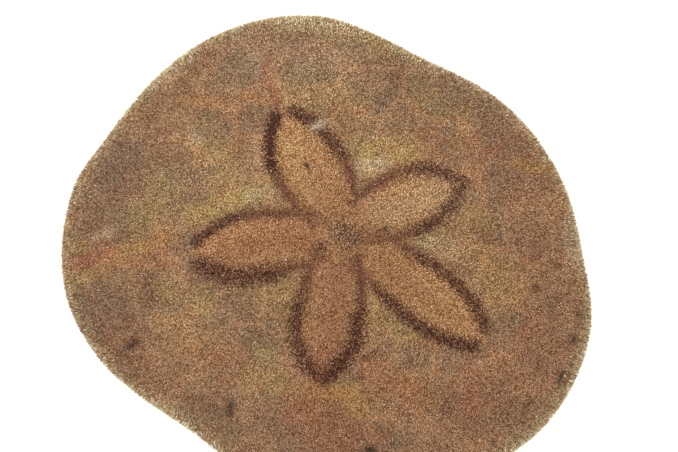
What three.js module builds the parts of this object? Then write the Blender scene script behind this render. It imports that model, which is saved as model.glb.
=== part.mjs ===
// A flat sea biscuit: a five-rayed burrowing urchin, whole, in its felt of short spines.
// Millimetres, +Z up, mouth down. The origin is on the resting plane, under the middle of the outline.
// The surface modelled is the one through the tips of the spines.
import * as THREE from "three";

// Heights above the resting plane, and the blunt edge all round.
const APEX_HEIGHT = 19;
const RIM_THICKNESS = 7.5;
const RIM_DEPTH = 4.6;
const DOME_POWER = 1.7;

// The margin, seen from above: [bearing in degrees, reach from the apex]. Bearing 0 is +X, 90 is +Y.
const MARGIN = [
  [12, 51.2],
  [38, 46.8],
  [62, 43.4],
  [78, 44.9],
  [96, 49.2],
  [122, 53.0],
  [150, 56.1],
  [160, 58.2],
  [170, 61.7],
  [192, 64.3],
  [208, 62.1],
  [220, 58.9],
  [234, 56.7],
  [262, 60.4],
  [290, 61.2],
  [316, 63.3],
  [338, 60.4],
  [354, 54.7],
];

// The five petals, anticlockwise: bearing of the midline, and length from the apex. Each side, left and
// right seen looking out from the apex, has its greatest half-width, at a share of the length.
const PETALS = [
  { bearing: 22.3, length: 28.6, left: { width: 7.4, belly: 0.58 }, right: { width: 6.1, belly: 0.6 } },
  { bearing: 116.4, length: 30.6, left: { width: 7.8, belly: 0.6 }, right: { width: 7.5, belly: 0.47 } },
  { bearing: 187.7, length: 34.5, left: { width: 7.3, belly: 0.63 }, right: { width: 6.4, belly: 0.6 } },
  { bearing: 262.0, length: 33.0, left: { width: 6.5, belly: 0.62 }, right: { width: 7.5, belly: 0.67 } },
  { bearing: 322.1, length: 41.0, left: { width: 6.7, belly: 0.6 }, right: { width: 6.2, belly: 0.6 } },
];
const PETAL_ROOT_WIDTH = 0.5; // half-width at the apex, as a share of the greatest
const PETAL_TIP_POWER = 0.8; // below 1 rounds the tip, above 1 draws it out
const PETAL_CROWN = 0.9; // how far the inside of a petal swells above the back
const PETAL_CROWN_EASE = 4.5; // distance over which the swelling rises from the petal's edge

// The two rows of pores that edge each petal lie in a shallow furrow.
const PORE_START = 0.14; // share of the petal's length where the rows begin
const FURROW_DEPTH = 0.6;
const FURROW_HALF_WIDTH = 1.5;
const BAND_STEPS = 24;

// The underside: a flat ring to rest on, a hollow that leads to the mouth, a food groove on each ray,
// and the vent near the hind margin.
const FLAT_RING_INNER = 0.46; // share of the reach where the flat ring ends and the hollow begins
const HOLLOW_DEPTH = 2.4;
const MOUTH_RADIUS = 3.6;
const MOUTH_DEPTH = 6.5;
const FOOD_GROOVE_DEPTH = 0.8;
const FOOD_GROOVE_END = 0.86; // share of the reach
const HIND_INTERVAL = 1; // the vent lies after this petal, in the list above
const VENT_INSET = 9; // from the margin to the middle of the vent
const VENT_RADIUS = 2.6;
const VENT_DEPTH = 1.3;

// Mesh density: rings outwards over the petals, beyond them, round the rim and under the body,
// and sector lines in each half of a ray, which crowd towards the ray's midline.
const PETAL_RINGS = 21;
const PETAL_FIELD = 0.72; // share of the reach that holds the petals
const OUTER_RINGS = 5;
const RIM_RINGS = 6;
const UNDER_RINGS = 10;
const UNDER_CROWDING = 1.5; // the rings under the body crowd towards the margin, where the vent is
const MOUTH_RINGS = 3;
const SECTOR_LINES = 10;
const SECTOR_CROWDING = 1.2;

const radians = THREE.MathUtils.degToRad;
const { lerp, smoothstep, euclideanModulo } = THREE.MathUtils;

// Reach of the margin at a bearing: a smooth closed curve through the points of MARGIN.
function marginReach(bearing) {
  const count = MARGIN.length;
  const turned = euclideanModulo(bearing - MARGIN[0][0], 360) + MARGIN[0][0];
  const at = (i) => {
    const [angle, reach] = MARGIN[euclideanModulo(i, count)];
    return [angle + 360 * Math.floor(i / count), reach];
  };
  let i = 0;
  while (at(i + 1)[0] <= turned) i += 1;
  const [[a0, r0], [a1, r1], [a2, r2], [a3, r3]] = [at(i - 1), at(i), at(i + 1), at(i + 2)];
  const span = a2 - a1;
  const t = (turned - a1) / span;
  const leave = ((r2 - r0) / (a2 - a0)) * span;
  const arrive = ((r3 - r1) / (a3 - a1)) * span;
  const rise = t * t * (3 - 2 * t);
  return r1 + (r2 - r1) * rise + leave * t * (1 - t) ** 2 - arrive * t * t * (1 - t);
}

// Half-width of one side of a petal at a share of its length: half of a leaf that closes at its tip.
function leafWidth({ width, belly }, t) {
  if (t < belly) return width * lerp(PETAL_ROOT_WIDTH, 1, Math.sin((Math.PI / 2) * (t / belly)));
  const towardsTip = Math.min(1, (t - belly) / (1 - belly));
  return width * (1 - towardsTip ** 2) ** PETAL_TIP_POWER;
}

// A plan position in a petal's own frame: the share of its length, and the distance left of its midline.
function inPetal(petal, x, y) {
  const angle = radians(petal.bearing);
  const along = x * Math.cos(angle) + y * Math.sin(angle);
  const across = y * Math.cos(angle) - x * Math.sin(angle);
  return { t: along / petal.length, across };
}

// Middle lines of a petal's two pore bands, from near the apex to the tip.
function poreBands(petal) {
  const angle = radians(petal.bearing);
  const apex = new THREE.Vector2();
  const band = (side, sign) =>
    Array.from({ length: BAND_STEPS + 1 }, (_, i) => {
      const t = lerp(PORE_START, 1, i / BAND_STEPS);
      return new THREE.Vector2(t * petal.length, sign * leafWidth(side, t)).rotateAround(apex, angle);
    });
  return [band(petal.left, 1), band(petal.right, -1)];
}
const PORE_BANDS = PETALS.flatMap(poreBands);

// Distance from a plan position to the nearest pore band.
function bandDistance(x, y) {
  const point = new THREE.Vector3(x, y, 0);
  const nearest = new THREE.Vector3();
  const piece = new THREE.Line3();
  let least = Infinity;
  for (const band of PORE_BANDS) {
    for (let i = 0; i < BAND_STEPS; i += 1) {
      piece.start.set(band[i].x, band[i].y, 0);
      piece.end.set(band[i + 1].x, band[i + 1].y, 0);
      piece.closestPointToPoint(point, true, nearest);
      least = Math.min(least, nearest.distanceTo(point));
    }
  }
  return least;
}

// Relief of the back: petals swell between their furrows.
function backRelief(x, y) {
  let crown = 0;
  for (const petal of PETALS) {
    const { t, across } = inPetal(petal, x, y);
    if (t <= 0 || t >= 1) continue;
    const halfWidth = leafWidth(across > 0 ? petal.left : petal.right, t);
    const inside = halfWidth - Math.abs(across);
    const fade = smoothstep(t, 0.05, 0.4);
    crown = Math.max(crown, PETAL_CROWN * fade * smoothstep(inside, 0, PETAL_CROWN_EASE));
  }
  const furrow = FURROW_DEPTH * Math.exp(-((bandDistance(x, y) / FURROW_HALF_WIDTH) ** 2));
  return crown - furrow;
}

// Height of the back at a share of the way from the apex to where the rim begins to turn down.
function backHeight(share) {
  return lerp(RIM_THICKNESS, APEX_HEIGHT, (1 - share * share) ** DOME_POWER);
}

// Height of the underside at a share of the reach, between the rays.
function underHeight(share, reach) {
  const mouthShare = MOUTH_RADIUS / reach;
  const hollow = HOLLOW_DEPTH * (1 - smoothstep(share, mouthShare, FLAT_RING_INNER));
  return hollow + (MOUTH_DEPTH - HOLLOW_DEPTH) * (1 - smoothstep(share, 0, mouthShare));
}

// Bearings of the sector lines. Every ray and every middle line between two rays is one of them.
function sectorBearings() {
  return PETALS.flatMap((petal, i) => {
    const next = PETALS[(i + 1) % PETALS.length];
    const half = euclideanModulo(next.bearing - petal.bearing, 360) / 2;
    const crowded = (k) => half * (k / SECTOR_LINES) ** SECTOR_CROWDING;
    const steps = Array.from({ length: SECTOR_LINES }, (_, k) => crowded(k));
    const middle = petal.bearing + half;
    return [
      ...steps.map((step) => ({ bearing: petal.bearing + step, onRay: step === 0 })),
      { bearing: middle, onRay: false, hind: i === HIND_INTERVAL },
      ...steps.slice(1).reverse().map((step) => ({ bearing: next.bearing - step, onRay: false })),
    ];
  });
}

// One sector line of the skin as points from the first ring round the apex to the last one in the mouth.
function sectorLine({ bearing, onRay, hind }) {
  const angle = radians(bearing);
  const reach = marginReach(bearing);
  const backReach = reach - RIM_DEPTH;
  const ring = (distance, height) =>
    new THREE.Vector3(distance * Math.cos(angle), distance * Math.sin(angle), height);
  const points = [];

  for (let i = 1; i <= PETAL_RINGS + OUTER_RINGS; i += 1) {
    const outer = Math.max(0, i - PETAL_RINGS) / OUTER_RINGS;
    const share = PETAL_FIELD * Math.min(1, i / PETAL_RINGS) + (1 - PETAL_FIELD) * outer;
    const point = ring(share * backReach, backHeight(share));
    point.z += backRelief(point.x, point.y);
    points.push(point);
  }
  for (let i = 1; i < RIM_RINGS; i += 1) {
    const turn = Math.PI * (i / RIM_RINGS);
    points.push(ring(backReach + RIM_DEPTH * Math.sin(turn), (RIM_THICKNESS / 2) * (1 + Math.cos(turn))));
  }
  const mouthShare = MOUTH_RADIUS / reach;
  const rimShare = backReach / reach;
  for (let i = 0; i <= UNDER_RINGS; i += 1) {
    const share = lerp(rimShare, mouthShare, (i / UNDER_RINGS) ** UNDER_CROWDING);
    const inGroove = onRay && share < FOOD_GROOVE_END && i > 0;
    const fromVent = hind ? Math.abs(reach - share * reach - VENT_INSET) : Infinity;
    const vent = VENT_DEPTH * (1 - smoothstep(fromVent, 0, VENT_RADIUS));
    points.push(ring(share * reach, underHeight(share, reach) + (inGroove ? FOOD_GROOVE_DEPTH : 0) + vent));
  }
  for (let i = 1; i < MOUTH_RINGS; i += 1) {
    const share = mouthShare * (1 - i / MOUTH_RINGS);
    points.push(ring(share * reach, underHeight(share, reach)));
  }
  return points;
}

// The closed skin: sector lines side by side, with a fan at the apex and another in the roof of the mouth.
function skinGeometry() {
  const lines = sectorBearings().map(sectorLine);
  const rings = lines[0].length;
  const apex = new THREE.Vector3(0, 0, APEX_HEIGHT);
  const mouthRoof = new THREE.Vector3(0, 0, MOUTH_DEPTH);
  const points = [apex, ...lines.flat(), mouthRoof];
  const last = points.length - 1;
  const index = [];
  lines.forEach((_, s) => {
    const here = (i) => 1 + s * rings + i;
    const beside = (i) => 1 + ((s + 1) % lines.length) * rings + i;
    index.push(0, here(0), beside(0));
    for (let i = 0; i + 1 < rings; i += 1) {
      index.push(here(i), here(i + 1), beside(i + 1));
      index.push(here(i), beside(i + 1), beside(i));
    }
    index.push(here(rings - 1), last, beside(rings - 1));
  });
  const geometry = new THREE.BufferGeometry().setFromPoints(points);
  geometry.setIndex(index);
  geometry.computeVertexNormals();
  return geometry;
}

const spinyShell = new THREE.Mesh(
  skinGeometry(),
  new THREE.MeshStandardMaterial({ color: 0x9a7956, roughness: 0.85, metalness: 0 }),
);
spinyShell.name = "spiny_shell";

// The shape is drawn round the apex, and set down with the middle of its outline at the origin.
spinyShell.geometry.computeBoundingBox();
const middle = spinyShell.geometry.boundingBox.getCenter(new THREE.Vector3());
spinyShell.position.set(-middle.x, -middle.y, 0);

const seaBiscuit = new THREE.Group();
seaBiscuit.name = "sea_biscuit";
seaBiscuit.add(spinyShell);

export default seaBiscuit;
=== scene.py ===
"""A flat sea biscuit in its felt of short spines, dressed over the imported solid, in a plain white studio."""

import math
from collections import namedtuple
from functools import partial

import bpy
import numpy as np
from bpy.props import FloatProperty, FloatVectorProperty, IntProperty, PointerProperty
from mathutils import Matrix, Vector


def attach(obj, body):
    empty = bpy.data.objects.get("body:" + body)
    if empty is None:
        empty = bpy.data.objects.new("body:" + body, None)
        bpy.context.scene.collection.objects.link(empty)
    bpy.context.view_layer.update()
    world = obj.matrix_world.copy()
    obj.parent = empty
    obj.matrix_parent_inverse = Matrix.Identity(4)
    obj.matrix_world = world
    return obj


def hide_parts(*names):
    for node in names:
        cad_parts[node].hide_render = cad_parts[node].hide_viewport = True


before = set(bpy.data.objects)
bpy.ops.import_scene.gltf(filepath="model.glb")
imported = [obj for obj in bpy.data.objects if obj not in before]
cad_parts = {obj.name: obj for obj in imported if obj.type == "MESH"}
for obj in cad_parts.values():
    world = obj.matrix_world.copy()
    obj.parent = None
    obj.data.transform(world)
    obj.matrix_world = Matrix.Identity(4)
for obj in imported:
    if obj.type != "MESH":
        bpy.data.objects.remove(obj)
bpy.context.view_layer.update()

bl_info = {
    "name": "Sea Biscuit",
    "version": (1, 0, 0),
    "blender": (4, 5, 0),
    "location": "View3D > Sidebar > Sea Biscuit",
    "description": "Builds a flat sea biscuit with its skin, its felt of spines and a white studio",
    "category": "Add Mesh",
}

MM = 0.001
NODE = "spiny_shell"
BODY = "root"
SPINE_MATERIAL = "Calcite spines, fine grown felt"

# All plan positions are measured from the apex, with bearing 0 along +X and 90 along +Y.
# The margin, seen from above: bearings in degrees and the reach at each.
MARGIN_BEARINGS = np.array(
    [12, 38, 62, 78, 96, 122, 150, 160, 170, 192, 208, 220, 234, 262, 290, 316, 338, 354], float
)
MARGIN_REACHES = MM * np.array(
    [51.2, 46.8, 43.4, 44.9, 49.2, 53.0, 56.1, 58.2, 61.7,
     64.3, 62.1, 58.9, 56.7, 60.4, 61.2, 63.3, 60.4, 54.7]
)

# A petal has a bearing, a length and two sides, left and right looking out from the apex. A side has its
# greatest half-width and where along the petal that is. Its band of pores has a half-width, a darkness,
# and the shares of the petal's length where it turns from red to dark and where it ends.
Petal = namedtuple("Petal", "bearing length left right")
Side = namedtuple("Side", "width belly band dark dusk end")
PETALS = (
    Petal(22.3, 28.6 * MM,
          Side(7.4 * MM, 0.58, 2.10 * MM, 0.50, 0.60, 0.985),
          Side(6.1 * MM, 0.60, 2.20 * MM, 0.54, 0.46, 1.0)),
    Petal(116.4, 30.6 * MM,
          Side(7.8 * MM, 0.60, 1.80 * MM, 0.88, 0.56, 0.96),
          Side(7.5 * MM, 0.47, 1.90 * MM, 0.68, 0.48, 0.94)),
    Petal(187.7, 34.5 * MM,
          Side(7.3 * MM, 0.63, 2.50 * MM, 0.64, 0.40, 0.93),
          Side(6.4 * MM, 0.60, 1.45 * MM, 0.66, 0.61, 0.95)),
    Petal(262.0, 33.0 * MM,
          Side(6.5 * MM, 0.62, 2.30 * MM, 0.74, 0.48, 1.0),
          Side(7.5 * MM, 0.67, 2.20 * MM, 0.62, 0.44, 0.99)),
    Petal(322.1, 41.0 * MM,
          Side(6.7 * MM, 0.60, 1.75 * MM, 0.60, 0.36, 0.93),
          Side(6.2 * MM, 0.60, 1.80 * MM, 0.68, 0.36, 0.94)),
)
PETAL_ROOT_WIDTH = 0.5  # half-width at the apex, as a share of the greatest
PETAL_TIP_POWER = 0.8  # below 1 rounds the tip, above 1 draws it out
PETAL_EDGE = (-0.3 * MM, 1.6 * MM)  # the petal's colour sets in over this stretch, from outside to inside
PETAL_ONSET = (0.02, 0.12)  # and over these shares of its length, from the apex
PETAL_ROOT_FADE = (0.1, 0.75)  # the colour of its root fades out over these
CROWN_ONSET = (0.05, 0.4)  # and its swelling rises over these

# Bands of pores along the petals' edges.
PORE_START = 0.14  # share of the petal's length where they begin
BAND_STEPS = 24
BAND_POWER = 2.8  # above 2 makes them flat across the middle, with steeper edges
DUSK_EASE = 0.12  # share of the length, either way, over which red turns to dark
BAND_SHORTER = 0.35  # spines of a band are shorter by this share
BAND_SPARSER = 0.25  # and fewer by this share

# Underside: shares of the reach, and the vent, which lies between the second and the third petal.
FLAT_RING_INNER = 0.46
FOOD_GROOVE_FADE = (0.76, 0.86)
VENT_BEARING = (PETALS[1].bearing + PETALS[2].bearing) / 2
VENT_INSET = 9.0 * MM

# Rings and sectors of the skin.
SECTORS = 420
BACK_RINGS = 100
RIM_RINGS = 14
UNDER_RINGS = 56
RIM_FIRST = 4  # rim rings from this one carry the fringe,
RIM_LAST = 10  # up to this one
FRINGE_PATCH = 2 * len(PETALS)  # after a patch for each ray of the back and of the underside

# Growth marks of the back, in millimetres in plan: where each starts and ends, its half-width, and its
# strength along the middle. Streaks run out from the petals' tips, and the rest lie between and on them.
ROSE_STREAKS = (
    ((-58.5, 5.3), (-59.0, 2.5), 0.8, 0.45),
    ((-57.4, 13.2), (-57.2, 13.4), 0.7, 0.7),
    ((-62.0, -7.4), (-53.0, -4.9), 1.7, 0.85),
    ((-49.7, -6.9), (-39.0, -3.8), 0.6, 0.55),
    ((-14.5, 27.5), (-17.5, 37.0), 0.9, 0.75),
    ((-17.5, 37.0), (-18.3, 46.0), 0.8, 0.6),
    ((28.1, -26.3), (29.6, -46.0), 0.9, 0.4),
    ((29.6, 15.6), (40.3, 22.5), 1.2, 0.35),
    ((-36.0, 46.0), (-28.0, 42.0), 3.0, 0.4),
)
ORANGE_STREAKS = (
    ((-51.0, -5.0), (-39.0, -0.8), 2.2, 0.5),
    ((-54.0, -8.2), (-45.0, -5.2), 0.9, 0.4),
    ((39.0, 14.8), (46.4, 14.0), 1.1, 0.5),
    ((-5.4, -35.0), (3.6, -37.5), 4.0, 0.45),
    ((-36.5, 30.0), (-26.0, 29.0), 1.6, 0.4),
    ((-22.0, 30.5), (-17.0, 29.0), 1.0, 0.5),
    ((33.0, -7.0), (37.0, -10.0), 3.5, 0.15),
    ((14.0, -34.0), (20.0, -37.0), 3.5, 0.35),
)
OCHRE_STREAKS = (
    ((39.5, 15.0), (46.4, 13.8), 1.2, 0.6),
    ((30.0, -4.0), (36.0, -14.0), 5.0, 0.28),
    ((-20.0, -32.8), (-8.0, -36.0), 2.8, 0.4),
    ((0.0, -36.0), (3.6, -39.4), 2.6, 0.45),
    ((-18.5, -25.5), (-17.5, -27.0), 3.2, 0.35),
    ((-13.0, 47.0), (12.0, 41.5), 2.6, 0.45),
    ((-51.0, -5.6), (-44.0, -3.2), 1.4, 0.45),
    ((-60.5, -11.2), (-55.8, -9.2), 1.5, 0.55),
    ((-60.5, -3.0), (-58.0, -3.2), 1.6, 0.45),
    ((-20.5, 8.2), (-33.0, 4.0), 2.8, 0.62),
    ((-25.0, 12.0), (-30.0, 20.0), 5.0, 0.3),
    ((4.5, 17.5), (15.0, 18.0), 3.6, 0.55),
    ((-40.0, 10.0), (-44.0, 4.0), 5.0, 0.35),
    ((26.0, 4.0), (32.0, 2.5), 4.0, 0.3),
    ((-12.0, 33.0), (0.0, 30.0), 4.0, 0.3),
    ((-44.0, -12.0), (-30.0, -16.0), 3.5, 0.3),
    ((10.0, -18.0), (16.0, -24.0), 3.0, 0.35),
    ((-40.0, -20.0), (-32.0, -24.0), 5.0, 0.12),
    ((18.0, 30.0), (26.0, 26.0), 4.0, 0.25),
)
RUSSET_DRIFTS = (
    ((42.0, -30.5), (48.0, -32.5), 2.5, 0.5),
    ((-51.0, -28.5), (-44.0, -29.5), 2.2, 0.5),
    ((-54.0, -22.8), (-51.5, -24.5), 1.5, 0.4),
    ((-1.0, -42.0), (5.0, -45.0), 2.6, 0.5),
    ((-9.0, -38.5), (2.0, -50.0), 6.0, 0.6),
    ((6.7, -30.0), (14.4, -36.0), 3.5, 0.5),
    ((28.0, -40.0), (46.0, -28.0), 8.0, 0.35),
    ((-1.5, -10.0), (-4.3, -30.0), 4.2, 0.6),
    ((-9.0, -1.0), (-28.0, -4.0), 3.6, 0.7),
    ((8.0, -7.0), (26.0, -20.0), 2.2, 0.4),
    ((41.0, 12.0), (47.0, -26.0), 11.0, 0.22),
    ((-3.0, 9.0), (-8.0, 20.0), 1.2, 0.4),
    ((-16.0, 42.0), (-6.0, 41.0), 3.5, 0.25),
    ((-50.0, -24.0), (-42.0, -34.0), 5.0, 0.25),
)
UMBER_DRIFTS = (
    ((38.5, 11.6), (46.0, 11.0), 1.8, 0.5),
    ((-56.0, -16.5), (-49.0, -21.5), 2.6, 0.35),
    ((-62.0, -5.6), (-60.2, -4.6), 1.3, 0.6),
    ((-54.0, 16.0), (-50.0, 6.0), 6.0, 0.7),
    ((-43.6, -10.6), (-43.0, -13.4), 3.0, 0.8),
    ((-18.0, -40.0), (-12.0, -46.0), 4.5, 0.6),
    ((22.0, 34.0), (38.0, 22.0), 4.0, 0.15),
    ((-44.0, 12.0), (-40.0, 8.0), 6.0, 0.55),
    ((-15.0, -14.0), (-18.0, -17.0), 4.0, 0.3),
    ((26.0, -38.0), (34.0, -34.0), 3.0, 0.35),
    ((-1.0, -9.0), (-4.0, -27.0), 4.2, 0.4),
)
PALE_PATCHES = (
    ((-6.5, 23.5), (-4.6, 24.2), 0.9, 0.7),
    ((4.5, 14.6), (8.6, 15.4), 1.6, 0.55),
    ((-20.0, 8.2), (-16.5, 9.2), 1.3, 0.36),
    ((-33.5, 21.0), (-32.0, 21.0), 1.3, 0.3),
    ((-42.0, -38.5), (-38.0, -40.5), 1.6, 0.3),
    ((19.0, -2.6), (24.0, -3.6), 2.0, 0.22),
    ((-56.0, -1.6), (-52.4, -0.2), 0.8, 0.35),
    ((9.0, 3.8), (21.0, 8.4), 3.6, 0.2),
    ((-14.0, 47.2), (8.0, 45.6), 1.8, 0.45),
    ((-34.0, 41.0), (-42.0, 33.0), 2.0, 0.25),
    ((50.0, 2.0), (51.5, -6.0), 1.6, 0.25),
    ((12.0, 43.0), (20.0, 38.0), 2.6, 0.25),
    ((-20.0, 40.0), (0.0, 40.0), 6.0, 0.16),
)
GREY_PATCHES = (
    ((0.0, 0.2), (1.4, -1.4), 3.4, 0.55),
    ((-5.2, -3.0), (-4.8, -3.4), 1.5, 0.55),
    ((5.0, -28.0), (7.4, -26.6), 0.8, 0.55),
    ((21.0, 1.0), (24.0, 1.6), 1.0, 0.35),
    ((-44.0, -11.5), (-43.2, -14.5), 2.4, 0.25),
    ((13.3, -40.3), (13.6, -40.5), 2.6, 0.35),
    ((23.4, -39.8), (23.8, -40.0), 2.8, 0.3),
)
MAROON_PATCHES = (
    ((-44.2, -11.4), (-43.4, -14.2), 2.6, 0.4),
    ((-10.4, 6.6), (-3.9, 2.1), 1.3, 0.45),
    ((12.3, -0.3), (4.7, -1.0), 1.5, 0.5),
    ((-8.5, -7.0), (-4.7, -5.2), 1.2, 0.4),
    ((3.4, 7.0), (2.4, 4.4), 1.0, 0.25),
    ((3.3, -5.4), (4.4, -12.5), 0.7, 0.75),
)
DARK_SPOTS = (
    ((47.4, -7.2), (48.8, -7.5), 0.6, 0.45),
    ((36.1, -29.2), (36.3, -29.3), 0.35, 0.6),
    ((-47.9, -25.7), (-46.4, -24.5), 1.0, 0.85),
    ((-49.6, -26.8), (-48.6, -26.2), 0.7, 0.3),
    ((-25.3, -40.6), (-25.1, -38.8), 0.8, 0.85),
    ((5.9, -48.9), (6.3, -48.9), 1.15, 1.0),
    ((51.6, -24.6), (51.8, -23.6), 0.75, 0.9),
    ((53.2, -19.0), (53.4, -18.4), 0.7, 0.75),
    ((48.7, -34.0), (49.2, -31.6), 0.7, 0.9),
    ((-47.1, -32.8), (-46.9, -32.4), 0.55, 0.75),
    ((-41.4, -34.2), (-41.0, -33.8), 0.8, 0.3),
    ((-40.2, -35.9), (-40.0, -35.7), 0.4, 0.6),
    ((33.2, -47.5), (33.7, -47.1), 0.7, 0.65),
    ((41.6, -38.8), (42.0, -38.2), 0.7, 0.5),
    ((43.0, -12.6), (43.6, -12.6), 0.7, 0.65),
    ((3.8, -32.6), (4.2, -32.4), 0.5, 0.7),
    ((-29.3, 43.1), (-28.9, 43.3), 0.5, 0.8),
    ((-61.6, -1.0), (-61.0, -0.8), 0.7, 0.45),
    ((-8.3, 15.1), (-7.8, 14.3), 0.4, 1.0),
    ((-8.45, 16.6), (-8.4, 16.5), 0.25, 0.8),
    ((9.4, 0.5), (9.5, 1.1), 0.4, 0.8),
    ((3.2, -5.0), (4.3, -14.0), 0.25, 0.4),
)

# Plates of the shell show faintly through the felt: columns in each ray, and rows along them.
PLATE_COLUMNS = 4
PLATE_ROWS = 6
PLATE_FIRST = 12.0 * MM
PLATE_ROW = 10.0 * MM
PLATE_SHIFT = 1.0 * MM  # the most that a plate lies off its row
PLATE_SWING = 0.03  # and off its column, in radians
PLATE_SEED = 11
SEAM_WANDER = 0.9 * MM  # how far the seams wander to and fro

# Shares of the reach over which the margin's felt, the olive rim and the pale fringe set in.
MARGIN_ONSET = (0.72, 0.95)
RIM_ONSET = (0.925, 0.985)
FRINGE_ONSET = (0.955, 0.995)
RIM_LEAN_ONSET = (0.84, 0.96)
UPRIGHT = 2.0 * MM  # spines stand upright within about this distance of the apex
DULL_SIDE = 180  # bearing round which rim and fringe are dullest
DULL_SPREAD = 30  # degrees to either side

# Drifts of pigment over all the felt, and a mottle that frays the marks: the size of a drift, the character
# of its noise, and the part of that noise that shows.
PIGMENT_DRIFTS = {
    "umber": (11 * MM, {"Detail": 3.0, "Roughness": 0.6}, {"From Min": 0.38, "From Max": 0.66}),
    "russet": (
        7 * MM, {"Detail": 2.0, "Distortion": 0.6}, {"From Min": 0.5, "From Max": 0.72, "To Max": 0.6}
    ),
}
MOTTLE = (
    3.2 * MM, {"Detail": 3.0, "Roughness": 0.6},
    {"From Min": 0.3, "From Max": 0.7, "To Min": 0.55, "To Max": 1.4},
)

# Marks in the order in which they cover one another, those that the mottle frays, and those that end in
# single spines. At a sharpness of 1 such a spine takes all of the mark's colour or none.
PAINT_ORDER = (
    "plate", "seam", "petal", "petal_root", "umber", "ochre", "orange", "russet", "rose", "margin", "apex",
    "pore_root", "pore_band", "pale", "spot", "rim", "fringe", "under", "bare",
)
MOTTLED = ("umber", "plate", "seam", "ochre", "orange", "russet", "rose")
SPECKLED = ("apex", "pore_band", "fringe")
SHARPNESS = 0.85

# Darkest and brightest tint of a grain of the skin, and of a spine. The skin's tints, all below one, also
# darken it as painted shade between the spines. The brightest spines are bare and white.
SKIN_GRAIN_AND_SHADE_TINTS = ((0.25, 0.2, 0.17), (0.78, 0.8, 0.85))
SPINE_TINTS = ((0.5, 0.22, 0.05), (1.7, 2.06, 2.5))
SOCKET_SPACING = 0.3 * MM
GLINT_LEVEL = 0.9975
SHADE_SPREAD = 997.0  # turns the shades, from 0 to 1, into numbers far enough apart for a second random draw

# Spread of the spines' lengths and widths, how many roots are tried for each that has room, and where a spine
# lies in its own cell of the texture map: the scale and the shift of its place.
LENGTH_SPREAD = (0.6, 1.05)
WIDTH_SPREAD = (0.75, 1.25)
ROOTS_TRIED = 3.0
CELL_ACROSS = (0.38, 0.5)
CELL_RISE = (0.8, 0.1)

# Sockets of a Mix node that mixes colours: its factor, the colour below, the colour above and the result.
FACTOR, BELOW, ABOVE, MIXED = 0, 6, 7, 2

# The studio, in metres: half the side of the sheet, the large lamp, and how far the camera sees.
SHEET_HALF = 3.0
LAMP_SIZE = 0.9
LAMP_PLACE = Vector((-0.5, 0.6, 1.1))
CAMERA_REACH = 20.0
SENSOR_WIDTH = 36.0  # the lens and the sensor are in millimetres


def linear(hex_colour):
    """Turns an sRGB hex colour into the linear values that shaders use."""
    parts = [int(hex_colour[i : i + 2], 16) / 255 for i in (0, 2, 4)]
    return tuple(c / 12.92 if c <= 0.04045 else ((c + 0.055) / 1.055) ** 2.4 for c in parts)


def length_property(name, description, millimetres):
    return FloatProperty(
        name=name, description=description, default=millimetres * MM, unit="LENGTH", precision=5
    )


def colour_property(name, description, hex_colour):
    return FloatVectorProperty(
        name=name, description=description, default=linear(hex_colour), subtype="COLOR", size=3, min=0, max=1
    )


class SeaBiscuitShape(bpy.types.PropertyGroup):
    """Sizes of the body, to the tips of its spines."""

    apex_height: length_property("Apex height", "Top of the back above the ground", 19.0)
    rim_thickness: length_property("Rim thickness", "Thickness of the blunt margin", 7.5)
    rim_depth: length_property("Rim depth", "How far in the rounding of the margin reaches", 4.6)
    dome_power: FloatProperty(name="Dome power", description="Higher draws the dome in", default=1.7)
    petal_crown: length_property("Petal crown", "How far a petal swells above the back", 0.9)
    petal_crown_ease: length_property("Petal crown ease", "Distance over which the swelling rises", 4.5)
    furrow_depth: length_property("Furrow depth", "Depth of the furrow along each band of pores", 0.6)
    furrow_half_width: length_property("Furrow half-width", "Half-width of that furrow", 1.5)
    hollow_depth: length_property("Hollow depth", "Depth of the hollow round the mouth", 2.4)
    mouth_radius: length_property("Mouth radius", "Radius of the mouth", 3.6)
    mouth_depth: length_property("Mouth depth", "Height of the roof of the mouth above the ground", 6.5)
    food_groove_depth: length_property("Food groove depth", "Depth of the grooves to the mouth", 0.8)
    food_groove_half_width: length_property("Food groove half-width", "Half-width of those grooves", 0.8)
    vent_radius: length_property("Vent radius", "Radius of the vent near the hind margin", 2.0)
    vent_depth: length_property("Vent depth", "Depth of the vent", 1.3)
    coat_depth: length_property("Coat depth", "From the skin to the tips of the spines", 0.85)


class SeaBiscuitSpines(bpy.types.PropertyGroup):
    """Sizes of the spines."""

    fringe_spacing: length_property("Fringe spacing", "Least distance between hairs of the fringe", 0.21)
    fringe_length: length_property("Fringe length", "Length of a hair of the fringe", 1.15)
    fringe_thickness: length_property("Fringe thickness", "Greatest radius of such a hair", 0.08)
    back_spacing: length_property("Back spacing", "Least distance between spines of the back", 0.28)
    under_spacing: length_property("Under spacing", "Least distance between spines of the underside", 0.42)
    back_length: length_property("Back length", "Length of a spine of the back", 0.9)
    under_length: length_property("Under length", "Length of a spine of the underside", 0.85)
    back_thickness: length_property("Back thickness", "Greatest radius of such a spine", 0.15)
    under_thickness: length_property("Under thickness", "Greatest radius of such a spine", 0.14)
    back_taper: FloatProperty(name="Back taper", description="Tapered share of a spine above", default=0.35)
    fringe_taper: FloatProperty(name="Fringe taper", description="Tapered share of a hair", default=0.75)
    under_taper: FloatProperty(name="Under taper", description="Tapered share of a spine below", default=0.6)
    lean: FloatProperty(name="Lean", description="How far spines lean away from the apex", default=0.12)
    rim_lean: FloatProperty(name="Rim lean", description="How much more they lean at the rim", default=0.6)
    jitter: FloatProperty(name="Jitter", description="How unevenly spines lean", default=0.3)
    seed: IntProperty(name="Seed", description="Seed of everything random in the coat", default=5)


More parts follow.
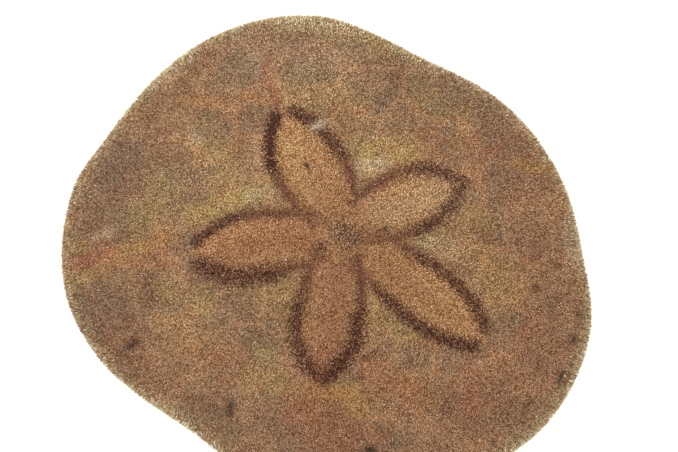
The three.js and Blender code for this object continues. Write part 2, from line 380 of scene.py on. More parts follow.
class SeaBiscuitColours(bpy.types.PropertyGroup):
    """Colours of the skin and the felt."""

    felt: colour_property("Felt", "Tan of the felt over most of the back", "bb9268")
    umber: colour_property("Umber", "Brown of the darker drifts of felt", "92765b")
    russet: colour_property("Russet", "Reddish drifts of felt", "a66f4c")
    plate: colour_property("Plate", "Middles of the plates that show through", "856b4c")
    seam: colour_property("Seam", "Lines between the plates", "c29364")
    ochre: colour_property("Ochre", "Yellow patches and streaks", "bfa460")
    orange: colour_property("Orange", "Orange streaks beyond the petals", "bd8b4e")
    rose: colour_property("Rose", "Salmon streaks beyond the petals", "b07454")
    petal: colour_property("Petal", "Inside of the petals", "c09663")
    petal_root: colour_property("Petal root", "Inside of the petals near the apex", "a97a52")
    # The pore bands' colour is also the painted shade at the roots of the spines.
    pore_band: colour_property("Pore band", "Bands of pores that edge the petals", "522e1e")
    pore_root: colour_property("Pore root", "Reddish inner edge of those bands", "7c4836")
    apex: colour_property("Apex", "Grey speckled patches round the apex", "6a4c3a")
    margin: colour_property("Margin", "Felt along the margin", "84644a")
    rim: colour_property("Rim", "Olive felt where the back turns down", "a79768")
    # The fringe's paleness is partly the hairs' own tone and partly painted backlight shining through them.
    fringe: colour_property("Fringe", "Spines that stand out at the rim", "d6c69c")
    spot: colour_property("Spot", "Dark spots", "3a2a18")
    pale: colour_property("Pale", "Pale worn patches", "d3c19c")
    # Painted glints: a few random spines painted white, partly sparkles of light and partly bare white spines.
    glint: colour_property("Glint", "The few bare white spines", "f4ead8")
    under: colour_property("Underside", "Felt of the underside", "a5835f")
    bare: colour_property("Bare skin", "Food grooves, mouth and vent", "8a5f48")
    floor: colour_property("Floor", "The white sheet that it lies on", "f4f4f4")


class SeaBiscuitStudio(bpy.types.PropertyGroup):
    """Camera and light."""

    frame_width: length_property("Frame width", "Width of the picture at the height of the rim", 152.55)
    frame_x: length_property("Frame X", "Middle of the picture, from the apex", -0.9)
    frame_y: length_property("Frame Y", "Middle of the picture, from the apex", 1.35)
    camera_height: length_property("Camera height", "Height of the camera above the ground", 1700.0)
    sky: FloatProperty(name="Sky", description="Strength of the even light from all round", default=1.7)
    softbox: FloatProperty(name="Softbox", description="Power of the lamp overhead, in watts", default=12.0)
    glow: FloatProperty(name="Glow", description="Light of the lit sheet under the object", default=0.9)


def smoothstep(low, high, value):
    t = np.clip((value - low) / (high - low), 0, 1)
    return t * t * (3 - 2 * t)


def bell(distance, half_width):
    return np.exp(-((distance / half_width) ** 2))


def margin_reach(bearing):
    """Reach of the margin at bearings in degrees: a smooth closed curve through the points of the margin."""
    angles = np.concatenate([MARGIN_BEARINGS[-1:] - 360, MARGIN_BEARINGS, MARGIN_BEARINGS[:2] + 360])
    reaches = np.concatenate([MARGIN_REACHES[-1:], MARGIN_REACHES, MARGIN_REACHES[:2]])
    turned = (np.asarray(bearing, float) - angles[1]) % 360 + angles[1]
    i = np.clip(np.searchsorted(angles, turned, side="right") - 1, 1, len(MARGIN_BEARINGS))
    span = angles[i + 1] - angles[i]
    t = (turned - angles[i]) / span
    leave = (reaches[i + 1] - reaches[i - 1]) / (angles[i + 1] - angles[i - 1]) * span
    arrive = (reaches[i + 2] - reaches[i]) / (angles[i + 2] - angles[i]) * span
    rise = t * t * (3 - 2 * t)
    straight = reaches[i] + (reaches[i + 1] - reaches[i]) * rise
    return straight + leave * t * (1 - t) ** 2 - arrive * t * t * (1 - t)


def apex_place():
    """Where the apex is in the part's frame, whose origin is under the middle of the outline."""
    bearings = np.arange(0, 360, 0.25)
    reach = margin_reach(bearings)
    angle = np.radians(bearings)
    x, y = reach * np.cos(angle), reach * np.sin(angle)
    return Vector((-(x.min() + x.max()) / 2, -(y.min() + y.max()) / 2, 0))


def leaf_width(side, t):
    """Half-width of one side of a petal at shares of its length: half of a leaf that closes at its tip."""
    opening = PETAL_ROOT_WIDTH + (1 - PETAL_ROOT_WIDTH) * np.sin(np.pi / 2 * np.clip(t / side.belly, 0, 1))
    closing = (1 - np.clip((t - side.belly) / (1 - side.belly), 0, 1) ** 2) ** PETAL_TIP_POWER
    return side.width * np.where(t < side.belly, opening, closing)


def in_petal(petal, x, y):
    """Plan positions in a petal's own frame: share of its length, and distance to the left of its midline."""
    angle = math.radians(petal.bearing)
    along = x * math.cos(angle) + y * math.sin(angle)
    return along / petal.length, y * math.cos(angle) - x * math.sin(angle)


def depth_in_petal(petal, x, y):
    """How far plan positions lie inside a petal's edge, less than 0 outside, and the share of its length."""
    t, across = in_petal(petal, x, y)
    half_width = np.where(across > 0, leaf_width(petal.left, t), leaf_width(petal.right, t))
    inside = half_width - np.abs(across)
    return np.where((t > 0) & (t < 1), inside, -np.inf), t


def pore_bands():
    """Middle lines of both bands of every petal, in plan, from near the apex to the tip, and their sides."""
    for petal in PETALS:
        angle = math.radians(petal.bearing)
        for side, sign in ((petal.left, 1), (petal.right, -1)):
            t = np.linspace(PORE_START, side.end, BAND_STEPS + 1)
            along, across = t * petal.length, sign * leaf_width(side, t)
            line = [along * math.cos(angle) - across * math.sin(angle),
                    along * math.sin(angle) + across * math.cos(angle)]
            yield np.stack(line, axis=1), side


def nearest_on_line(x, y, line):
    """Distance from plan positions to a line of points, and the share along it of the nearest place."""
    best, share = np.full(x.shape, np.inf), np.zeros(x.shape)
    for k, (start, end) in enumerate(zip(line[:-1], line[1:])):
        step = end - start
        h = np.clip(((x - start[0]) * step[0] + (y - start[1]) * step[1]) / (step @ step), 0, 1)
        gap = np.hypot(x - start[0] - h * step[0], y - start[1] - h * step[1])
        closer = gap < best
        best[closer] = gap[closer]
        share[closer] = (k + h[closer]) / (len(line) - 1)
    return best, share


def band_reading(x, y):
    """For plan positions: distance to the nearest band, share of its petal's length, and its side."""
    best, share, nearest = np.full(x.shape, np.inf), np.zeros(x.shape), np.zeros(x.shape, int)
    sides = []
    for line, side in pore_bands():
        gap, along = nearest_on_line(x, y, line)
        closer = gap < best
        best[closer], nearest[closer] = gap[closer], len(sides)
        share[closer] = PORE_START + (side.end - PORE_START) * along[closer]
        sides.append(side)
    return best, share, Side(*(column[nearest] for column in np.array(sides).T))


def marks(x, y, listed):
    """Strength of the listed growth marks at plan positions."""
    strength = np.zeros(x.shape)
    for start, end, half_width, most in listed:
        gap, _ = nearest_on_line(x, y, MM * np.array([start, end]))
        strength = np.maximum(strength, most * bell(gap, half_width * MM))
    return strength


def plates(x, y):
    """Plates of the shell at plan positions: distance to the nearest seam, and a tone for each plate."""
    rng = np.random.default_rng(PLATE_SEED)
    middles = []
    for k, petal in enumerate(PETALS):
        span = (PETALS[(k + 1) % len(PETALS)].bearing - petal.bearing) % 360
        for column in range(PLATE_COLUMNS):
            bearing = math.radians(petal.bearing + span * (column + 0.5) / PLATE_COLUMNS)
            for row in range(PLATE_ROWS):
                reach = PLATE_FIRST + PLATE_ROW * (row + 0.5 * (column % 2))
                reach += rng.uniform(-1, 1) * PLATE_SHIFT
                swing = rng.uniform(-PLATE_SWING, PLATE_SWING)
                middles.append((reach * math.cos(bearing + swing), reach * math.sin(bearing + swing)))
    middles = np.array(middles)
    tones = rng.uniform(0, 1, len(middles))
    wx = x + SEAM_WANDER * np.sin(y / (3.1 * MM) + 1.3 * np.sin(x / (4.3 * MM)))
    wy = y + SEAM_WANDER * np.sin(x / (2.7 * MM) + 1.7 * np.sin(y / (5.1 * MM)))
    gaps = np.hypot(wx[:, None] - middles[None, :, 0], wy[:, None] - middles[None, :, 1])
    near = np.argpartition(gaps, 1, axis=1)[:, :2]
    first, second = np.take_along_axis(gaps, near, axis=1).T
    apart = np.linalg.norm(middles[near[:, 0]] - middles[near[:, 1]], axis=1)
    return np.abs(second**2 - first**2) / (2 * apart), tones[near[:, 0]]


def back_relief(shape, x, y):
    """Relief of the back: petals swell between their furrows."""
    crown = np.zeros(x.shape)
    for petal in PETALS:
        inside, t = depth_in_petal(petal, x, y)
        swell = smoothstep(*CROWN_ONSET, t) * smoothstep(0, shape.petal_crown_ease, inside)
        crown = np.maximum(crown, shape.petal_crown * swell)
    gap, _, _ = band_reading(x, y)
    return crown - shape.furrow_depth * bell(gap, shape.furrow_half_width)


def groove_distance(x, y):
    """Distance from plan positions to the middle of the nearest food groove."""
    gap = np.full(x.shape, np.inf)
    for petal in PETALS:
        t, across = in_petal(petal, x, y)
        gap = np.where(t > 0, np.minimum(gap, np.abs(across)), gap)
    return gap


def vent_distance(x, y):
    angle = math.radians(VENT_BEARING)
    reach = float(margin_reach(VENT_BEARING)) - VENT_INSET
    return np.hypot(x - reach * math.cos(angle), y - reach * math.sin(angle))


def under_relief(shape, x, y, share):
    """Relief of the underside: the food grooves and the vent."""
    fade = 1 - smoothstep(*FOOD_GROOVE_FADE, share)
    groove = shape.food_groove_depth * bell(groove_distance(x, y), shape.food_groove_half_width) * fade
    vent = shape.vent_depth * (1 - smoothstep(0, shape.vent_radius, vent_distance(x, y)))
    return np.maximum(groove, vent)


def skin_grid(shape):
    """Points of the skin as rings of sectors, from the apex to the mouth, with their outward normals."""
    bearings = np.linspace(0, 360, SECTORS, endpoint=False)
    cosine, sine = np.cos(np.radians(bearings)), np.sin(np.radians(bearings))
    reach = margin_reach(bearings)
    back_reach = reach - shape.rim_depth
    rings = []
    for share in np.linspace(0, 1, BACK_RINGS + 1)[1:]:
        lift = (1 - share * share) ** shape.dome_power
        height = shape.rim_thickness + (shape.apex_height - shape.rim_thickness) * lift
        x, y = share * back_reach * cosine, share * back_reach * sine
        rings.append((x, y, height + back_relief(shape, x, y)))
    for turn in np.linspace(0, np.pi, RIM_RINGS + 1)[1:-1]:
        distance = back_reach + shape.rim_depth * np.sin(turn)
        height = np.full(SECTORS, shape.rim_thickness / 2 * (1 + np.cos(turn)))
        rings.append((distance * cosine, distance * sine, height))
    mouth_share = shape.mouth_radius / reach
    for step in np.linspace(0, 1, UNDER_RINGS + 1)[:-1]:
        share = back_reach / reach * (1 - step)
        hollow = shape.hollow_depth * (1 - smoothstep(mouth_share, FLAT_RING_INNER, share))
        roof = (shape.mouth_depth - shape.hollow_depth) * (1 - smoothstep(0, mouth_share, share))
        x, y = share * reach * cosine, share * reach * sine
        rings.append((x, y, hollow + roof + under_relief(shape, x, y, share)))
    points = np.array(rings).transpose(0, 2, 1)
    outwards = np.gradient(points, axis=0)
    sideways = np.roll(points, -1, axis=1) - np.roll(points, 1, axis=1)
    normals = np.cross(outwards, sideways)
    normals /= np.linalg.norm(normals, axis=2, keepdims=True)
    return points, normals


def skin_faces(rings):
    """Faces of the skin: a fan at the apex, bands of quads, and a fan in the roof of the mouth."""
    here = 1 + np.arange(SECTORS)
    beside = 1 + (np.arange(SECTORS) + 1) % SECTORS
    last = 1 + rings * SECTORS
    faces = [(0, a, b) for a, b in zip(here.tolist(), beside.tolist())]
    for ring in range(rings - 1):
        low, high = ring * SECTORS, (ring + 1) * SECTORS
        corners = (here + low, here + high, beside + high, beside + low)
        faces += zip(*(corner.tolist() for corner in corners))
    low = (rings - 1) * SECTORS
    faces += [(a, last, b) for a, b in zip((here + low).tolist(), (beside + low).tolist())]
    return faces


def petal_reading(x, y):
    """For plan positions: share of the petals' colour, share of their roots' colour, and depth in a petal."""
    petal, root, deepest = np.zeros(x.shape), np.zeros(x.shape), np.full(x.shape, -np.inf)
    for each in PETALS:
        inside, t = depth_in_petal(each, x, y)
        deepest = np.maximum(deepest, inside)
        petal = np.maximum(petal, smoothstep(*PETAL_EDGE, inside) * smoothstep(*PETAL_ONSET, t))
        root = np.maximum(root, (1 - smoothstep(*PETAL_ROOT_FADE, t)) * (inside > 0))
    return petal, root, deepest


def band_marks(x, y, inside):
    """Dark and red of the bands of pores at plan positions, given which of them are inside a petal."""
    gap, along, side = band_reading(x, y)
    outwards = np.where(inside, -gap, gap)
    dusk = smoothstep(side.dusk - DUSK_EASE, side.dusk + DUSK_EASE, along)
    dark = side.dark * dusk * np.exp(-np.abs(outwards / side.band) ** BAND_POWER)
    # Near the apex a band is red, and widens and deepens outwards. Further out a red ground is left along
    # the inner edge of the dark.
    red_width = (1.0 + 0.7 * smoothstep(0.2, 0.4, along)) * MM
    red = (0.55 + 0.3 * smoothstep(0.15, 0.35, along)) * (1 - dusk) * bell(outwards, red_width)
    ground = 0.5 * dusk * bell(outwards + 0.3 * side.band, 1.1 * side.band)
    return dark, red + ground


def bare_mark(shape, x, y, share):
    """Where the underside is bare at plan positions: the food grooves, the mouth and the vent."""
    fade = 1 - smoothstep(*FOOD_GROOVE_FADE, share)
    groove = bell(groove_distance(x, y), shape.food_groove_half_width) * fade
    mouth = 1 - smoothstep(0.9 * shape.mouth_radius, 1.25 * shape.mouth_radius, np.hypot(x, y))
    vent = 1 - smoothstep(0.8 * shape.vent_radius, 1.2 * shape.vent_radius, vent_distance(x, y))
    return np.maximum(groove, np.maximum(mouth, vent))


def coat_marks(shape, x, y, on_back):
    """Markings of the felt at plan positions, each from 0 to 1, by the name that the materials read."""
    bearing, reach = np.degrees(np.arctan2(y, x)), np.hypot(x, y)
    share = reach / margin_reach(bearing)
    petal, root, deepest = petal_reading(x, y)
    dark, red = band_marks(x, y, deepest > 0)
    seam_gap, tone = plates(x, y)
    outside = (1 - petal) * smoothstep(8 * MM, 14 * MM, reach)
    between_petals = 0.3 * bell(reach - 17 * MM, 8 * MM) * (1 - petal)
    dull = bell(np.abs(bearing) - DULL_SIDE, DULL_SPREAD)
    above = {
        "plate": outside * (0.14 + 0.26 * tone) * smoothstep(0.4 * MM, 2.4 * MM, seam_gap),
        "seam": outside * 0.6 * bell(seam_gap, 0.45 * MM),
        "russet": marks(x, y, RUSSET_DRIFTS),
        "umber": marks(x, y, UMBER_DRIFTS),
        "ochre": np.maximum(marks(x, y, OCHRE_STREAKS), between_petals),
        "orange": marks(x, y, ORANGE_STREAKS),
        "rose": marks(x, y, ROSE_STREAKS),
        "petal": petal,
        "petal_root": petal * root * 0.6,
        "pore_root": np.maximum(red, marks(x, y, MAROON_PATCHES)),
        "pore_band": dark,
        "apex": marks(x, y, GREY_PATCHES),
        "margin": smoothstep(*MARGIN_ONSET, share) * 0.3,
        "rim": smoothstep(*RIM_ONSET, share) * (0.5 - 0.2 * dull),
        # Painted backlight, partly the hairs' own pale tone: the fringe is paled, less so round the dull side.
        "fringe": smoothstep(*FRINGE_ONSET, share) * (0.6 - 0.35 * dull),
        "pale": marks(x, y, PALE_PATCHES),
        "spot": marks(x, y, DARK_SPOTS),
    }
    on_underside = 1.0 - on_back
    return {
        **{name: on_back * strength for name, strength in above.items()},
        "under": 0.7 * on_underside,
        "bare": on_underside * bare_mark(shape, x, y, share),
    }


def add_node(tree, kind, inputs=None, **settings):
    """Adds a node with its settings, and sets or links each input, by its name or its place."""
    node = tree.nodes.new(kind)
    for name, value in settings.items():
        setattr(node, name, value)
    for place, value in (inputs or {}).items():
        if isinstance(value, bpy.types.NodeSocket):
            tree.links.new(value, node.inputs[place])
        else:
            node.inputs[place].default_value = value
    return node


def new_material(name):
    material = bpy.data.materials.new(name)
    material.use_nodes = True
    material.node_tree.nodes.clear()
    return material


def noise_share(tree, place, size, noise, shown):
    """Share of a drift at a place, from 0 to 1 unless the part that shows says otherwise."""
    drift = add_node(tree, "ShaderNodeTexNoise", {"Vector": place, "Scale": 1 / size, **noise})
    return add_node(tree, "ShaderNodeMapRange", {"Value": drift.outputs["Fac"], **shown}).outputs[0]


def felt_colour(tree, colours, chance):
    """Colour of the felt where it grows, from drifts of pigment and the markings that the mesh carries.

    A chance for each spine decides whether it takes on the colour of a speckled mark.
    """
    add = partial(add_node, tree)
    place = add("ShaderNodeTexCoord").outputs["Object"]
    colour = (*colours.felt, 1)
    for name, drift in PIGMENT_DRIFTS.items():
        share = noise_share(tree, place, *drift)
        paint = (*getattr(colours, name), 1)
        colour = add(
            "ShaderNodeMix", {FACTOR: share, BELOW: colour, ABOVE: paint}, data_type="RGBA"
        ).outputs[MIXED]

    mottle = noise_share(tree, place, *MOTTLE)
    spared = add("ShaderNodeMath", {0: chance, 1: SHARPNESS}, operation="MULTIPLY").outputs[0]
    taken = add("ShaderNodeMath", {0: spared, 1: 1 - SHARPNESS}, operation="ADD").outputs[0]
    for name in PAINT_ORDER:
        mark = add("ShaderNodeAttribute", attribute_name=name).outputs["Fac"]
        if name in MOTTLED:
            mark = add("ShaderNodeMath", {0: mark, 1: mottle}, operation="MULTIPLY").outputs[0]
        if name in SPECKLED:
            mark = add(
                "ShaderNodeMapRange", {"Value": mark, "From Min": spared, "From Max": taken, "To Max": 1.0}
            ).outputs[0]
        paint = (*getattr(colours, name), 1)
        colour = add(
            "ShaderNodeMix", {FACTOR: mark, BELOW: colour, ABOVE: paint}, data_type="RGBA", clamp_factor=True
        ).outputs[MIXED]
    return colour


def grained(tree, colour, share, darkest, brightest):
    """Colour times a tint of its own in every grain, at a random share of the way between two tints."""
    add = partial(add_node, tree)
    parted = add("ShaderNodeMapRange", {"Value": share}, interpolation_type="SMOOTHSTEP")
    tint = add(
        "ShaderNodeMix",
        {FACTOR: parted.outputs[0], BELOW: (*darkest, 1), ABOVE: (*brightest, 1)}, data_type="RGBA",
    )
    return add(
        "ShaderNodeMix",
        {FACTOR: 1.0, BELOW: colour, ABOVE: tint.outputs[MIXED]}, data_type="RGBA", blend_type="MULTIPLY",
    ).outputs[MIXED]


def skin_material(colours):
    """Skin over calcite plates: dull, darker than the felt with painted shade between the spines, and pimpled
    with the spines' sockets.
    """
    material = new_material("Urchin skin, granular, darkened by painted shade")
    tree = material.node_tree
    add = partial(add_node, tree)
    place = add("ShaderNodeTexCoord").outputs["Object"]
    sockets = add("ShaderNodeTexVoronoi", {"Vector": place, "Scale": 1 / SOCKET_SPACING})
    parts = add("ShaderNodeSeparateColor", {0: sockets.outputs["Color"]}).outputs
    # Random grain, and painted shade: the skin shows only in the gaps between the spines, so its tints darken
    # it.
    colour = grained(tree, felt_colour(tree, colours, parts["Blue"]), parts["Red"], *SKIN_GRAIN_AND_SHADE_TINTS)
    bump = add(
        "ShaderNodeBump",
        {"Strength": 0.5, "Distance": 0.1 * MM, "Height": sockets.outputs["Distance"]}, invert=True,
    )
    shader = add(
        "ShaderNodeBsdfPrincipled",
        {"Base Color": colour, "Roughness": 0.7, "Specular IOR Level": 0.15, "Normal": bump.outputs[0]},
    )
    add("ShaderNodeOutputMaterial", {"Surface": shader.outputs[0]})
    return material


def spine_material(colours):
    """Calcite spines in a thin skin: matte, each its own shade, with painted shade at the root, and a few
    painted white, partly as glints of light and partly as bare white spines.
    """
    material = new_material(SPINE_MATERIAL)
    tree = material.node_tree
    add = partial(add_node, tree)
    shade = add("ShaderNodeAttribute", attribute_name="shade").outputs["Fac"]
    rise = add("ShaderNodeAttribute", attribute_name="rise").outputs["Fac"]
    spread = add("ShaderNodeMath", {0: shade, 1: SHADE_SPREAD}, operation="MULTIPLY")
    noise = add("ShaderNodeTexWhiteNoise", {"W": spread.outputs[0]}, noise_dimensions="1D").outputs["Value"]
    colour = grained(tree, felt_colour(tree, colours, shade), noise, *SPINE_TINTS)
    # Painted shade: each spine darkens towards its root, down among its neighbours, to the dark of the pore
    # bands.
    shadow = add("ShaderNodeMapRange", {"Value": rise, "From Max": 0.8, "To Min": 0.65, "To Max": 0.0})
    # Painted glints, partly bare white spines: spines above the glint level take the glint colour.
    glint = add("ShaderNodeMath", {0: noise, 1: GLINT_LEVEL}, operation="GREATER_THAN")
    for share, paint in ((shadow, colours.pore_band), (glint, colours.glint)):
        colour = add(
            "ShaderNodeMix", {FACTOR: share.outputs[0], BELOW: colour, ABOVE: (*paint, 1)}, data_type="RGBA"
        ).outputs[MIXED]
    shader = add(
        "ShaderNodeBsdfPrincipled", {"Base Color": colour, "Roughness": 0.6, "Specular IOR Level": 0.15}
    )
    add("ShaderNodeOutputMaterial", {"Surface": shader.outputs[0]})
    return material


def coat_tree():
    """Geometry nodes that grow spines from the skin, and the identifiers of the inputs by name."""
    tree = bpy.data.node_groups.new("Coat of spines", "GeometryNodeTree")
    add = partial(add_node, tree)
    kinds = {
        "Skin": "NodeSocketGeometry", "Patch": "NodeSocketInt", "Spacing": "NodeSocketFloat",
        "Length": "NodeSocketFloat", "Thickness": "NodeSocketFloat", "Taper": "NodeSocketFloat",
        "Jitter": "NodeSocketFloat", "Seed": "NodeSocketInt", "Material": "NodeSocketMaterial",
    }
    known = {
        name: tree.interface.new_socket(name, in_out="INPUT", socket_type=kind).identifier
        for name, kind in kinds.items()
    }
    tree.interface.new_socket("Spines", in_out="OUTPUT", socket_type="NodeSocketGeometry")
    given = add("NodeGroupInput").outputs

    patch = add("GeometryNodeInputNamedAttribute", {"Name": "patch"}, data_type="INT")
    chosen = add(
        "FunctionNodeCompare", {2: patch.outputs[0], 3: given["Patch"]}, data_type="INT", operation="EQUAL"
    )
    density = add("GeometryNodeInputNamedAttribute", {"Name": "coat_density"}, data_type="FLOAT")
    per_area = add("ShaderNodeMath", {0: given["Spacing"], 1: -2.0}, operation="POWER")
    crowded = add("ShaderNodeMath", {0: per_area.outputs[0], 1: ROOTS_TRIED}, operation="MULTIPLY")
    roots = add(
        "GeometryNodeDistributePointsOnFaces",
        {"Mesh": given["Skin"], "Selection": chosen.outputs[0], "Distance Min": given["Spacing"],
         "Density Max": crowded.outputs[0], "Density Factor": density.outputs[0], "Seed": given["Seed"]},
        distribute_method="POISSON",
    )
    shade = add("FunctionNodeRandomValue", {"Seed": given["Seed"]}, data_type="FLOAT")
    shaded = add(
        "GeometryNodeStoreNamedAttribute",
        {"Geometry": roots.outputs["Points"], "Name": "shade", "Value": shade.outputs[1]},
        data_type="FLOAT", domain="POINT",
    )
    index = add("GeometryNodeInputIndex")
    numbered = add(
        "GeometryNodeStoreNamedAttribute",
        {"Geometry": shaded.outputs[0], "Name": "cell", "Value": index.outputs[0]},
        data_type="INT", domain="POINT",
    )

    lean = add("GeometryNodeInputNamedAttribute", {"Name": "lean"}, data_type="FLOAT_VECTOR")
    chance = add(
        "FunctionNodeRandomValue", {0: (-1, -1, -1), 1: (1, 1, 1), "Seed": 1}, data_type="FLOAT_VECTOR"
    )
    uneven = add("ShaderNodeVectorMath", {0: chance.outputs[0], "Scale": given["Jitter"]}, operation="SCALE")
    leaning = add("ShaderNodeVectorMath", {0: roots.outputs["Normal"], 1: lean.outputs[0]})
    way = add("ShaderNodeVectorMath", {0: leaning.outputs[0], 1: uneven.outputs[0]})
    roll = add("FunctionNodeRandomValue", {2: 0.0, 3: 2 * math.pi, "Seed": 2}, data_type="FLOAT")
    turned = add("ShaderNodeCombineXYZ", {"Z": roll.outputs[1]})
    rolled = add("FunctionNodeEulerToRotation", {0: turned.outputs[0]})
    aligned = add(
        "FunctionNodeAlignRotationToVector",
        {"Rotation": rolled.outputs[0], "Vector": way.outputs[0]}, axis="Z",
    )
    grown = add("GeometryNodeInputNamedAttribute", {"Name": "spine_length"}, data_type="FLOAT")
    luck = add(
        "FunctionNodeRandomValue", {2: LENGTH_SPREAD[0], 3: LENGTH_SPREAD[1], "Seed": 3}, data_type="FLOAT"
    )
    tall = add("ShaderNodeMath", {0: grown.outputs[0], 1: luck.outputs[1]}, operation="MULTIPLY")
    stout = add(
        "FunctionNodeRandomValue", {2: WIDTH_SPREAD[0], 3: WIDTH_SPREAD[1], "Seed": 4}, data_type="FLOAT"
    )
    size = add("ShaderNodeCombineXYZ", {"X": stout.outputs[1], "Y": stout.outputs[1], "Z": tall.outputs[0]})

    # A spine is a slim spindle on a pointed root, and tapers over the given share of its length.
    spine = add(
        "GeometryNodeMeshCone",
        {"Vertices": 3, "Side Segments": 1, "Radius Top": given["Thickness"], "Radius Bottom": 0.0,
         "Depth": given["Length"]}, fill_type="TRIANGLE_FAN",
    )
    position = add("GeometryNodeInputPosition")
    place = add("ShaderNodeSeparateXYZ", {0: position.outputs[0]})
    flat = add("ShaderNodeCombineXYZ", {"X": place.outputs["X"], "Y": place.outputs["Y"]})
    from_axis = add("ShaderNodeVectorMath", {0: flat.outputs[0]}, operation="LENGTH")
    edge = add("ShaderNodeMath", {0: from_axis.outputs["Value"], 1: given["Thickness"]}, operation="DIVIDE")
    taper = add("ShaderNodeMath", {0: given["Taper"], 1: given["Length"]}, operation="MULTIPLY")
    drop = add("ShaderNodeMath", {0: edge.outputs[0], 1: taper.outputs[0]}, operation="MULTIPLY")
    fall = add("ShaderNodeVectorMath", {0: (0, 0, -1), "Scale": drop.outputs[0]}, operation="SCALE")
    tapered = add("GeometryNodeSetPosition", {"Geometry": spine.outputs["Mesh"], "Offset": fall.outputs[0]})
    rise = add("ShaderNodeMath", {0: place.outputs["Z"], 1: given["Length"]}, operation="DIVIDE")
    half = add("ShaderNodeMath", {0: place.outputs["Y"], 1: 0.5}, operation="MULTIPLY")
    skewed = add("ShaderNodeMath", {0: place.outputs["X"], 1: half.outputs[0]}, operation="ADD")
    across = add("ShaderNodeMath", {0: skewed.outputs[0], 1: given["Thickness"]}, operation="DIVIDE")
    marked = tapered.outputs[0]
    for name, value in (("rise", rise), ("across", across)):
        marked = add(
            "GeometryNodeStoreNamedAttribute",
            {"Geometry": marked, "Name": name, "Value": value.outputs[0]}, data_type="FLOAT", domain="POINT",
        ).outputs[0]

    planted = add(
        "GeometryNodeInstanceOnPoints",
        {"Points": numbered.outputs[0], "Instance": marked,
         "Rotation": aligned.outputs[0], "Scale": size.outputs[0]},
    )
    solid = add("GeometryNodeRealizeInstances", {"Geometry": planted.outputs[0]})

    # Each spine has a small cell of its own in the texture map, with its root at the cell's foot.
    count = add("GeometryNodeAttributeDomainSize", {0: roots.outputs["Points"]}, component="POINTCLOUD")
    root = add("ShaderNodeMath", {0: count.outputs["Point Count"]}, operation="SQRT")
    cells = add("ShaderNodeMath", {0: root.outputs[0]}, operation="CEIL")
    cell = add("GeometryNodeInputNamedAttribute", {"Name": "cell"}, data_type="INT")
    column = add("ShaderNodeMath", {0: cell.outputs[0], 1: cells.outputs[0]}, operation="MODULO")
    whole = add("ShaderNodeMath", {0: cell.outputs[0], 1: cells.outputs[0]}, operation="DIVIDE")
    row = add("ShaderNodeMath", {0: whole.outputs[0]}, operation="FLOOR")
    places = []
    for start, name, scale, shift in ((column, "across", *CELL_ACROSS), (row, "rise", *CELL_RISE)):
        mark = add("GeometryNodeInputNamedAttribute", {"Name": name}, data_type="FLOAT")
        inside = add("ShaderNodeMath", {0: mark.outputs[0], 1: scale, 2: shift}, operation="MULTIPLY_ADD")
        total = add("ShaderNodeMath", {0: start.outputs[0], 1: inside.outputs[0]}, operation="ADD")
        places.append(
            add("ShaderNodeMath", {0: total.outputs[0], 1: cells.outputs[0]}, operation="DIVIDE")
        )
    spot = add("ShaderNodeCombineXYZ", {"X": places[0].outputs[0], "Y": places[1].outputs[0]})
    mapped = add(
        "GeometryNodeStoreNamedAttribute",
        {"Geometry": solid.outputs[0], "Name": "OFBake", "Value": spot.outputs[0]},
        data_type="FLOAT2", domain="CORNER",
    )
    smooth = add("GeometryNodeSetShadeSmooth", {"Geometry": mapped.outputs[0]})
    dressed = add("GeometryNodeSetMaterial", {"Geometry": smooth.outputs[0], "Material": given["Material"]})
    add("NodeGroupOutput", {0: dressed.outputs[0]})
    return tree, known


def link(piece):
    bpy.context.scene.collection.objects.link(piece)
    return piece


def store(mesh, name, values):
    """Keeps a number or a vector for each point of a mesh, under a name."""
    kind, field = ("FLOAT", "value") if values.ndim == 1 else ("FLOAT_VECTOR", "vector")
    mesh.attributes.new(name, kind, "POINT").data.foreach_set(field, values.astype(np.float32).ravel())


